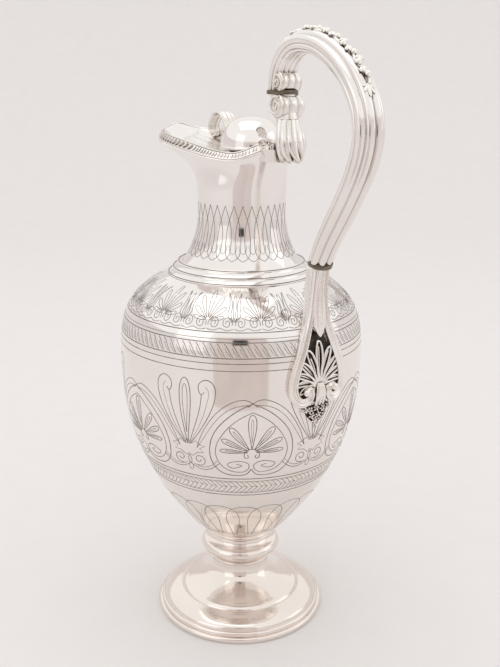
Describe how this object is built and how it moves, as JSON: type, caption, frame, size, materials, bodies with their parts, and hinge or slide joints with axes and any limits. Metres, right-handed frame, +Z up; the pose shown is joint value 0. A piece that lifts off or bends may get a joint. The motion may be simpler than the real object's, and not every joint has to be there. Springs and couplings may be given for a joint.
{
  "type": "pitcher",
  "caption": "Footed metal pitcher with an engraved ovoid body, narrow neck, drawn spout, hinged domed lid and a high looped handle.",
  "frame": {"origin": "centre of the foot's resting face", "axes": "+Z up, +X towards the spout, the handle on the -X side"},
  "size_m": [0.1818, 0.141, 0.3464],
  "materials": {
    "polished_silver": "polished silver",
    "engraved_silver": "polished silver with fine engraved lines",
    "cast_silver": "cast and chased silver, darker in the recesses",
    "oxidised_silver": "oxidised ground behind the ornament",
    "insulator": "dark bone-like insulating disc"
  },
  "bodies": {
    "jug": {"foot_rim": "polished_silver", "foot_dome": "polished_silver", "foot_bead": "polished_silver", "foot_stem": "polished_silver", "stem_collar": "polished_silver", "knop": "polished_silver", "upper_collar": "polished_silver", "body_shell": "engraved_silver", "shoulder_collar": "polished_silver", "neck_shell": "engraved_silver", "mouth_lip": "polished_silver", "rim_border_left": "cast_silver", "rim_border_right": "cast_silver", "border_volute_left": "cast_silver", "border_volute_right": "cast_silver", "back_collar": "polished_silver", "hinge_knuckles": "polished_silver", "hinge_pin": "polished_silver", "handle_socket": "cast_silver", "upper_volute": "cast_silver", "upper_insulator": "insulator", "upper_dowel": "polished_silver", "handle_loop": "cast_silver", "handle_scroll": "cast_silver", "handle_vine": "cast_silver", "lower_insulator": "insulator", "lower_dowel": "polished_silver", "handle_tongue": "cast_silver", "lower_strap_left": "cast_silver", "lower_strap_right": "cast_silver", "plaque": "oxidised_silver", "palmette": "cast_silver", "husk": "cast_silver", "flower_cluster": "cast_silver"},
    "lid": {"lid_dome": "polished_silver", "lid_bead": "polished_silver", "lid_leaf": "cast_silver", "finial_loop": "cast_silver", "lid_knuckle": "polished_silver"}
  },
  "joints": [
    {"name": "lid_hinge", "type": "hinge", "parent": "jug", "child": "lid", "pos_m": [-0.0322, 0, 0.2882], "axis": [0, -1, 0], "range_deg": [0, 44]}
  ]
}
